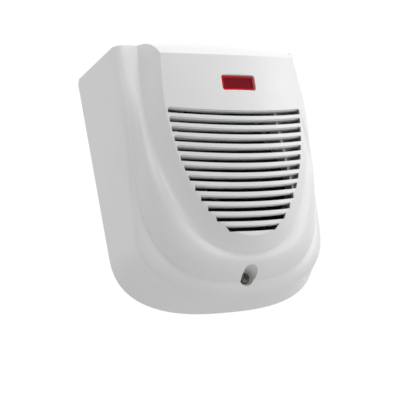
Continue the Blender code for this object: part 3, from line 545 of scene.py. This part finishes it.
# ---- cover screw -----------------------------------------------------------------------------------
def make_screw():
    """Pan head with a tapered cross recess, and a plain shank."""
    head = WELL_FLOOR + WELL_FLOOR_T + GAP
    bm = bmesh.new()
    add_turned(bm, [(0, head + 2.5), (0.9, head + 2.48), (1.8, head + 2.3), (2.6, head + 1.9),
                    (3.15, head + 1.35), (3.42, head + 0.7), (3.5, head + 0.15), (3.4, head),
                    (1.45, head), (1.45, 20.6), (0.9, 19.6), (0, 19.4)], 0, WELL_Z)
    screw = to_object(bm, "cover_screw_fine")
    for n in range(2):
        bm = bmesh.new()
        rings = []
        for depth, length, width in ((head + 3, 2.3, 0.55), (head + 1.9, 1.9, 0.42),
                                     (head + 0.9, 0.9, 0.30)):
            ring = []
            for u, w in ((-1, -1), (1, -1), (1, 1), (-1, 1)):
                a = math.radians(20 + 90 * n)
                x, z = u * length, w * width
                ring.append(vert(bm, x * math.cos(a) - z * math.sin(a), depth,
                                 WELL_Z + x * math.sin(a) + z * math.cos(a)))
            rings.append(ring)
        add_loft(bm, rings)
        bmesh.ops.recalc_face_normals(bm, faces=bm.faces)
        cut(screw, bm, f"recess_{n + 1}")
    screw.data.shade_smooth()
    screw.data.set_sharp_from_angle(angle=math.radians(30))
    return screw


dress(make_screw(), HEAD_STEEL, "cover_screw", "cover_screw")


# ---- speaker leads ----------------------------------------------------------------------------------
RED_PATH = ((-18.0, 16.3, 46.0), (-19.0, 24.0, 43.5), (-30.0, 27.0, 39.5), (-44.5, 26.0, 24.0),
            (-48.5, 25.0, 0.0), (-45.0, 25.0, -24.0), (-36.0, 27.0, -44.0), (-22.0, 31.0, -50.5),
            (-9.0, 31.0, -49.5), (-2.0, 20.0, -43.0), (-2.0, 9.0, -34.0), (-2.0, 6.5, -26.4))
YELLOW_OFF = ((3.4, 0.0, 0.0), (2.4, 2.2, 0.6), (0.0, 3.2, 1.0), (0.6, 3.2, 0.0),
              (0.6, 3.2, 0.0), (0.6, 3.2, 0.0), (1.6, 3.0, 1.4), (1.0, 3.2, 1.6),
              (1.8, 3.2, 1.6), (3.4, 1.4, 0.4), (3.6, 0.0, 0.0), (3.6, 0.0, 0.0))


LEAD_R, LEAD_SIDES = 0.78, 12


def smooth_path(knots, count):
    """Catmull-Rom points through the knots."""
    pts = [Vector(k) for k in knots]
    pts = [2 * pts[0] - pts[1]] + pts + [2 * pts[-1] - pts[-2]]
    out = []
    for i in range(1, len(pts) - 2):
        a, b, c, e = pts[i - 1:i + 3]
        for k in range(count):
            t = k / count
            out.append(0.5 * (2 * b + (c - a) * t + (2 * a - 5 * b + 4 * c - e) * t * t
                              + (3 * b - a - 3 * c + e) * t ** 3))
    return out + [pts[-2]]


def make_lead(name, share):
    knots = [tuple(p + share * q for p, q in zip(point, off)) for point, off in zip(RED_PATH, YELLOW_OFF)]
    path = smooth_path(knots, 8)
    bm = bmesh.new()
    rings = []
    side = Vector((0, 0, 1))
    for i, p in enumerate(path):
        along = (path[min(i + 1, len(path) - 1)] - path[max(i - 1, 0)]).normalized()
        side = (side - along * side.dot(along)).normalized()
        other = along.cross(side)
        rings.append([vert(bm, *(p + side * LEAD_R * math.cos(a) + other * LEAD_R * math.sin(a)))
                      for a in (2 * math.pi * k / LEAD_SIDES for k in range(LEAD_SIDES))])
    add_loft(bm, rings)
    return to_object(bm, name, 50)


def insulation(name, colour):
    """Drawn wire insulation with a soft sheen."""
    n = Nodes(name)
    n.link(n.ramp(n.noise(500, 3), (0.3, shade(colour, 0.85)), (0.7, shade(colour, 1.05))),
           n.shader.inputs["Base Color"])
    n.link(n.span(n.noise(900, 2), 0.34, 0.48), n.shader.inputs["Roughness"])
    n.bump(n.noise(2200, 2), 0.2, 0.01 * MM)
    return n.mat


RED_WIRE = insulation("red_insulation", (0.50, 0.02, 0.015))
YELLOW_WIRE = insulation("yellow_insulation", (0.78, 0.55, 0.04))
dress(make_lead("lead_red_fine", 0.0), RED_WIRE, "base", "lead_red")
dress(make_lead("lead_yellow_fine", 1.0), YELLOW_WIRE, "base", "lead_yellow")


# ---- finishes of the CAD pieces that stay -------------------------------------------------------------
def circuit():
    """Solder mask over a faint grid of tracks."""
    n = Nodes("circuit_board")
    brick = n.add("TexBrick")
    for key, value in (("Scale", 150.0), ("Mortar Size", 0.035), ("Brick Width", 0.9),
                       ("Row Height", 0.35)):
        brick.inputs[key].default_value = value
    brick.inputs["Color1"].default_value = (0.012, 0.13, 0.055, 1)
    brick.inputs["Color2"].default_value = (0.016, 0.16, 0.07, 1)
    brick.inputs["Mortar"].default_value = (0.04, 0.27, 0.13, 1)
    turn = n.add("Mapping")
    turn.inputs["Rotation"].default_value = (math.pi / 2, 0, 0)
    n.link(n.coord, turn.inputs["Vector"])
    n.link(turn.outputs["Vector"], brick.inputs["Vector"])
    n.link(brick.outputs["Color"], n.shader.inputs["Base Color"])
    n.link(n.span(n.noise(300, 2), 0.28, 0.42), n.shader.inputs["Roughness"])
    n.bump(brick.outputs["Fac"], 0.3, 0.03 * MM, 0.1 * MM)
    return n.mat


def clear():
    """Clear acrylic with a faint clouding."""
    n = Nodes("clear_acrylic")
    n.set(trans=0.85, ior=1.49)
    n.link(n.ramp(n.noise(60, 2), (0.3, (0.86, 0.90, 0.90)), (0.7, (0.95, 0.97, 0.97))),
           n.shader.inputs["Base Color"])
    n.link(n.span(n.noise(240, 2), 0.05, 0.14), n.shader.inputs["Roughness"])
    n.bump(n.noise(400, 2), 0.1, 0.02 * MM, 0.2 * MM)
    return n.mat


STEEL = plated("zinc_plated_steel", (0.52, 0.51, 0.49), 0.3)
BRASS = plated("turned_brass", (0.62, 0.44, 0.18), 0.28, (1, 30, 1), 200, 0.03)
ALU = plated("extruded_aluminium", (0.64, 0.65, 0.66), 0.38, (12, 1, 1), 300, 0.03)
FERRITE = moulded("ferrite", (0.035, 0.035, 0.038), 0.62, 900, 0.08, 0.3, 0.2, 0.35)
RUBBER = moulded("black_rubber", (0.028, 0.028, 0.028), 0.78, 1100, 0.06, 0.25, 0.25, 0.25)
TERMINAL = moulded("terminal_green", (0.025, 0.27, 0.10), 0.45, 1600, 0.03, 0.45, 0.15, 0.08)
EPOXY = moulded("moulded_epoxy", (0.018, 0.018, 0.02), 0.58, 1900, 0.05, 0.35, 0.15, 0.25)
SLEEVE = moulded("shrink_sleeve", (0.025, 0.045, 0.15), 0.32, 700, 0.02, 0.5, 0.2, 0.15, 0.2)
LED_RED = moulded("led_epoxy", (0.62, 0.03, 0.025), 0.16, 600, 0.01, 0.6, 0.1, 0.1, 0.4)
FILM = moulded("polyimide_film", (0.34, 0.20, 0.05), 0.3, 500, 0.03, 0.5, 0.1, 0.12, 0.2)
NYLON = moulded("natural_nylon", (0.74, 0.69, 0.54), 0.46, 1500, 0.02, 0.4, 0.15, 0.05)
PAINT = {
    # the horn and the parts behind the grille take the near-black plastic that also carries painted shade
    "base_plate": INSIDE_WHITE, "lead_socket": INSIDE_WHITE, "horn_flare": BLACK_PAINTED_SHADE, "horn_phase_plug": BLACK_PAINTED_SHADE,
    "light_guide_holder": BLACK_PAINTED_SHADE, "tamper_switch": BLACK_PAINTED_SHADE, "hinge_pin": STEEL, "driver_front_plate": STEEL,
    "driver_back_plate": STEEL, "driver_magnet": FERRITE, "cable_grommet": RUBBER, "threaded_insert": BRASS,
    "diaphragm": FILM, "circuit_board": circuit(), "terminal_block": TERMINAL, "control_chip": EPOXY,
    "power_transistor": EPOXY, "capacitor": SLEEVE, "heat_sink": ALU, "light_guide": clear(),
    "led_1": LED_RED, "led_2": LED_RED, "tamper_plunger": NYLON,
}
for n in range(4):
    PAINT[f"horn_screw_{n + 1}"] = PAINT[f"terminal_screw_{n + 1}"] = STEEL
for n in range(2):
    PAINT[f"board_screw_{n + 1}"] = STEEL
for node, mat in PAINT.items():
    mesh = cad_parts[node].data
    mesh.materials.clear()
    mesh.materials.append(mat)

# ---- stage -----------------------------------------------------------------------------------------
FLOOR_Z = -1.0
floor_bm = bmesh.new()
bmesh.ops.create_grid(floor_bm, x_segments=1, y_segments=1, size=6.0,
                      matrix=Matrix.Translation((0, 0, FLOOR_Z)))
floor = to_object(floor_bm, "floor")
pale = Nodes("pale_floor")
pale.link(pale.ramp(pale.noise(3), (0.3, (0.62, 0.62, 0.62)), (0.7, (0.66, 0.66, 0.66))),
          pale.shader.inputs["Base Color"])
floor.data.materials.append(pale.mat)

world = bpy.data.worlds.new("studio")
bpy.context.scene.world = world
world.use_nodes = True
tree = world.node_tree
sky = tree.nodes["Background"]
direction = tree.nodes.new("ShaderNodeTexCoord").outputs["Generated"]
split = tree.nodes.new("ShaderNodeSeparateXYZ")
tree.links.new(direction, split.inputs["Vector"])
level = tree.nodes.new("ShaderNodeMapRange")
for key, value in (("From Min", -0.1), ("From Max", 0.45), ("To Min", 0.60), ("To Max", 1.02)):
    level.inputs[key].default_value = value
tree.links.new(split.outputs["Y"], level.inputs["Value"])
tree.links.new(level.outputs["Result"], sky.inputs["Strength"])
sky.inputs["Color"].default_value = (1, 1, 1, 1)


def softbox(name, place, size, power):
    """A round area light aimed at the origin."""
    light = bpy.data.lights.new(name, "AREA")
    light.shape = "DISK"
    light.size = size
    light.energy = power
    obj = bpy.data.objects.new(name, light)
    bpy.context.scene.collection.objects.link(obj)
    obj.location = place
    obj.rotation_euler = Vector(place).to_track_quat("Z", "Y").to_euler()


softbox("key", (1.5, -0.9, 0.1), 1.0, 7.5)
softbox("top", (0.3, -0.95, 1.4), 0.9, 15)
bpy.context.scene.view_settings.view_transform = "Standard"
